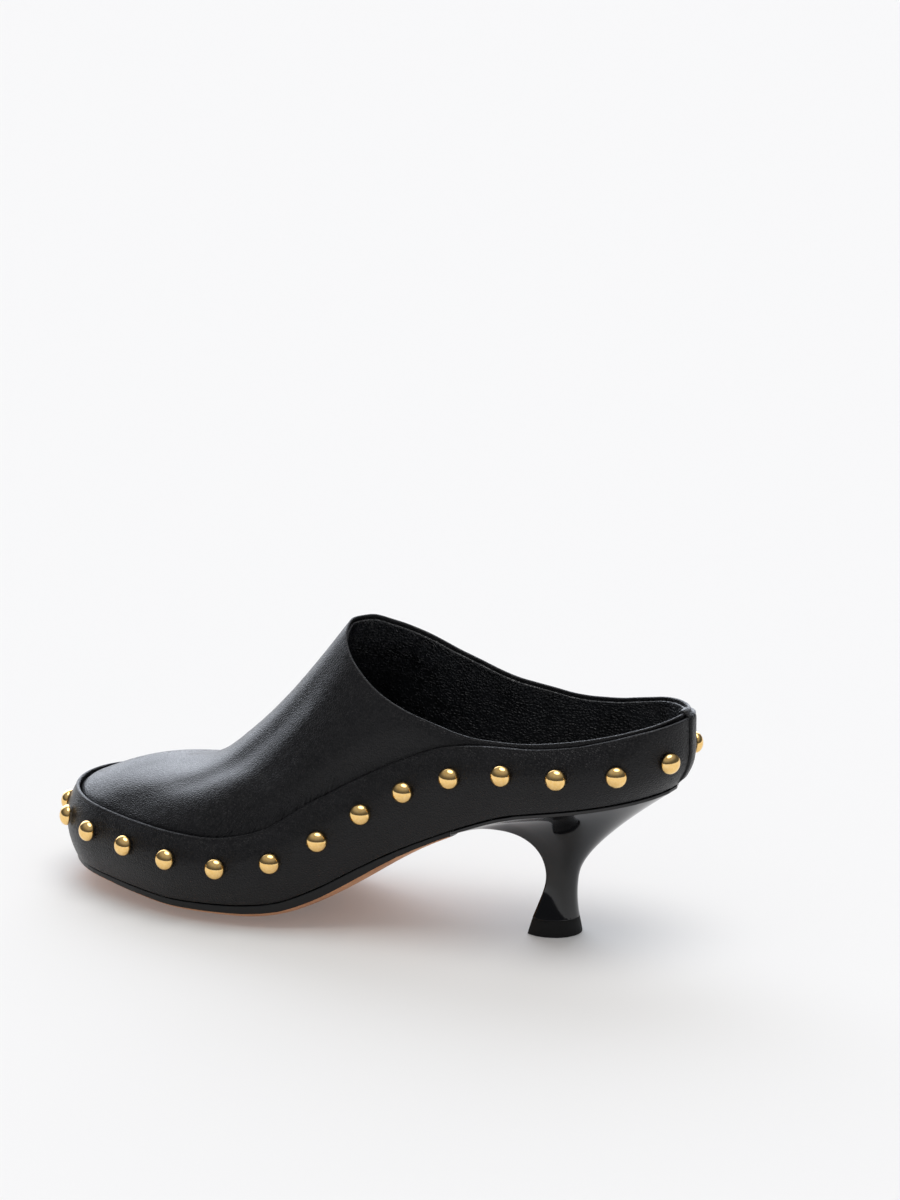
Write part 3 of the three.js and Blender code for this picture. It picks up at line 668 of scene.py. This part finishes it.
# Back strip: a folded strip over the closing seam, up the wall, over the collar and a little way inside
stripShape = {
    "width": 6 * mm, "thick": 0.6 * mm, "edge": 0.35 * mm, "inside": 7 * mm, "gap": 0.12 * mm, "reach": 4,
    "lifts": (0.15, 0.85, 1.0, 1.0, 1.0, 0.85, 0.15), "steps": 46, "fine": 3, "taper": 3, "thinnest": 0.25,
    "backFrom": 100 * mm, "smooth": 60,
    "over": ((0.0, 0.25), (0.35, 0.62), (1.0, 0.75), (1.8, 0.6), (2.35, 0.2), (2.45, -0.6)),
}


def buildStrip():
    low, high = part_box("back_strip")
    middleY = (low.y + high.y) / 2
    back = wallLines[:, 0, 0] > stripShape["backFrom"]
    nearest = min(np.nonzero(back)[0], key=lambda i: abs(wallLines[i, 3, 1] - middleY))
    ids = [(nearest + k) % len(wallLines) for k in range(-stripShape["reach"], stripShape["reach"] + 1)]
    offsets = np.array([wallLines[i, 3, 1] - middleY for i in ids])
    order = np.argsort(offsets)
    ids, offsets = [ids[k] for k in order], offsets[order]
    path = []
    for i in ids:
        outside = smoothRows(wallLines[i, :7], stripShape["fine"], False)[1:]
        over = [collarAt(inset * mm, lift * mm)[i] for inset, lift in stripShape["over"]]
        inner = upperLines[i, 9:18]
        run = np.cumsum(np.linalg.norm(np.diff(inner, axis=0), axis=1))
        drop = inner[0] + (inner[-1] - inner[0]) * min(1.0, stripShape["inside"] / run[-1])
        path.append(np.array([*outside, vamp[i, -1], *over, drop]))
    path = np.array(path)
    half = stripShape["width"] / 2
    columns = [-half, -half + stripShape["edge"], -half / 2, 0, half / 2, half - stripShape["edge"], half]
    lifts = stripShape["lifts"]
    lines = np.array([[[np.interp(c, offsets, path[:, k, a]) for a in range(3)] for k in range(path.shape[1])]
                      for c in columns])
    ways = np.linspace(0, 1, stripShape["steps"])[None, :] * lineLengths(lines)[:, None]
    lines = alongLines(lines, ways)
    across = unit(lines[-1] - lines[0])
    along = unit(np.gradient(lines[3], axis=0))
    out = unit(np.cross(along, across))
    if (out[4] @ np.array([1, 0, 0])) < 0:
        out = -out
    gap = stripShape["gap"]
    taper = np.clip(np.arange(lines.shape[1]) / stripShape["taper"], stripShape["thinnest"], 1)[:, None]
    over = [lines[k] + out * (gap + stripShape["thick"] * lifts[k] * taper) for k in range(len(columns))]
    under = [lines[k] + out * gap * 0.5 for k in range(len(columns))]
    ring = np.array(over + under[::-1])
    count, steps = ring.shape[:2]
    faces = []
    for k in range(count):
        here, there = k * steps, ((k + 1) % count) * steps
        faces += [[here + s, there + s, there + s + 1, here + s + 1] for s in range(steps - 1)]
    faces.append([k * steps for k in range(count)][::-1])
    faces.append([k * steps + steps - 1 for k in range(count)])
    mesh = bpy.data.meshes.new("backStrip")
    mesh.from_pydata(ring.reshape(-1, 3).tolist(), [], faces)
    piece = bpy.data.objects.new("backStrip", mesh)
    bpy.context.scene.collection.objects.link(piece)
    makeActive(piece)
    bpy.ops.object.mode_set(mode="EDIT")
    bpy.ops.mesh.select_all(action="SELECT")
    bpy.ops.mesh.normals_make_consistent(inside=False)
    bpy.ops.object.mode_set(mode="OBJECT")
    bpy.ops.object.shade_smooth_by_angle(angle=math.radians(stripShape["smooth"]))
    return piece


strip = buildStrip()
finishPiece(strip, ["back_strip"], calfLeather)

# Studs: a pressed dome with a small turned-in foot, modelled once from a sphere
studShape = {
    "radius": 4.05 * mm, "height": 3.4 * mm, "foot": 0.35 * mm, "footDraw": 0.955, "sunk": 0.25 * mm,
    "rings": 20, "sides": 36, "smooth": 50,
}


def modelStud():
    radius, height = studShape["radius"], studShape["height"]
    bpy.ops.mesh.primitive_uv_sphere_add(segments=studShape["sides"], ring_count=studShape["rings"],
                                         radius=radius)
    stud = bpy.context.object
    bpy.ops.object.mode_set(mode="EDIT")
    bpy.ops.mesh.select_all(action="SELECT")
    bpy.ops.mesh.bisect(plane_co=(0, 0, 0), plane_no=(0, 0, 1), clear_inner=True, use_fill=False)
    bpy.ops.mesh.select_all(action="SELECT")
    bpy.ops.transform.resize(value=(1, 1, (height - studShape["foot"]) / radius))
    bpy.ops.mesh.select_all(action="DESELECT")
    bpy.ops.mesh.select_non_manifold()
    bpy.ops.mesh.extrude_region_move(TRANSFORM_OT_translate={"value": (0, 0, -studShape["foot"])})
    bpy.ops.transform.resize(value=(studShape["footDraw"], studShape["footDraw"], 1),
                             center_override=(0, 0, -studShape["foot"]))
    bpy.ops.mesh.edge_face_add()
    bpy.ops.mesh.select_all(action="SELECT")
    bpy.ops.transform.translate(value=(0, 0, studShape["foot"]))
    bpy.ops.mesh.normals_make_consistent(inside=False)
    bpy.ops.object.mode_set(mode="OBJECT")
    bpy.ops.object.shade_smooth_by_angle(angle=math.radians(studShape["smooth"]))
    return stud


# The base of a stud's solid is its widest flat face: its middle and its direction place the dome
def studPlace(nodeName):
    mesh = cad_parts[nodeName].data
    sums = {}
    for face in mesh.polygons:
        key = tuple(round(v, 2) for v in face.normal)
        entry = sums.setdefault(key, [0.0, Vector((0, 0, 0)), Vector((0, 0, 0))])
        entry[0] += face.area
        entry[1] += face.center * face.area
        entry[2] += face.normal * face.area
    area, centre, normal = max(sums.values(), key=lambda e: e[0])
    return centre / area, -normal.normalized()


deselectAll()
master = modelStud()
studNames = sorted(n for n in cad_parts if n.startswith("stud_"))
for nodeName in studNames:
    place, outward = studPlace(nodeName)
    dome = bpy.data.objects.new("dome_" + nodeName[-2:], master.data.copy())
    bpy.context.scene.collection.objects.link(dome)
    turn = Vector((0, 0, 1)).rotation_difference(outward).to_matrix().to_4x4()
    dome.data.transform(Matrix.Translation(place - outward * studShape["sunk"]) @ turn)
    finishPiece(dome, [nodeName], goldBrass)
bpy.data.objects.remove(master)
print("studs set,", len(studNames))

# Floor and light: a white paper floor, lit by a dim room and three soft bright fields in it. One is overhead,
# one is a wide tent round that, and one stands low behind the toe. The floor has a faint glow of its own,
# which softens the shadows. Past its edge the camera sees a plain pale backdrop in place of the room.
studio = {"floorSize": 24, "floorColour": "#dddcda", "floorRough": 0.9, "floorGlow": 0.13, "room": 0.12,
          "roomTint": "#eef3ff", "backdrop": "#f8f8f9"}
fields = {
    "overhead": {"axis": (0.10, -0.05, 1.0), "wide": 28, "core": 12, "strength": 3.4, "hex": "#fffdfb"},
    "tent": {"axis": (0.0, -0.15, 1.0), "wide": 76, "core": 30, "strength": 0.36, "hex": "#fffdfb"},
    "behind": {"axis": (-0.50, 0.87, 0.38), "wide": 44, "core": 12, "strength": 3.8, "hex": "#eef4ff"},
}
bpy.ops.mesh.primitive_plane_add(size=studio["floorSize"], location=(0, 0, 0))
floor = bpy.context.object
floor.name = "studioFloor"
floorMaterial, _, floorShader, _ = startMaterial("paperSweep")
floorShader.inputs["Base Color"].default_value = linear(studio["floorColour"])
floorShader.inputs["Roughness"].default_value = studio["floorRough"]
floorShader.inputs["Specular IOR Level"].default_value = 0.0
floorShader.inputs["Emission Color"].default_value = linear("#ffffff")
floorShader.inputs["Emission Strength"].default_value = studio["floorGlow"]
floor.data.materials.append(floorMaterial)

world = bpy.data.worlds.new("studioAir")
world.use_nodes = True
air = world.node_tree
direction = addNode(air, "ShaderNodeTexCoord").outputs["Generated"]
total = addNode(air, "ShaderNodeRGB").outputs["Color"]
total.default_value = [v * studio["room"] for v in linear(studio["roomTint"])[:3]] + [1.0]
for field in fields.values():
    dot = addNode(air, "ShaderNodeVectorMath", {0: direction}, operation="DOT_PRODUCT")
    dot.inputs[1].default_value = Vector(field["axis"]).normalized()
    outer, core = (math.cos(math.radians(field[key])) for key in ("wide", "core"))
    glow = addNode(air, "ShaderNodeMapRange", {"Value": dot.outputs["Value"]}, From_Min=outer, From_Max=core,
                   To_Max=field["strength"], interpolation_type="SMOOTHSTEP")
    tinted = addNode(air, "ShaderNodeVectorMath", {"Scale": glow.outputs["Result"]}, operation="SCALE")
    tinted.inputs[0].default_value = linear(field["hex"])[:3]
    summed = addNode(air, "ShaderNodeVectorMath", {0: total, 1: tinted.outputs["Vector"]}, operation="ADD")
    total = summed.outputs[0]
air.links.new(total, air.nodes["Background"].inputs["Color"])
backdrop = addNode(air, "ShaderNodeBackground", Color=linear(studio["backdrop"]))
seen = addNode(air, "ShaderNodeLightPath").outputs["Is Camera Ray"]
either = addNode(air, "ShaderNodeMixShader", {
    0: seen, 1: air.nodes["Background"].outputs[0], 2: backdrop.outputs[0]})
air.links.new(either.outputs[0], air.nodes["World Output"].inputs["Surface"])
bpy.context.scene.world = world
print("studio lit")
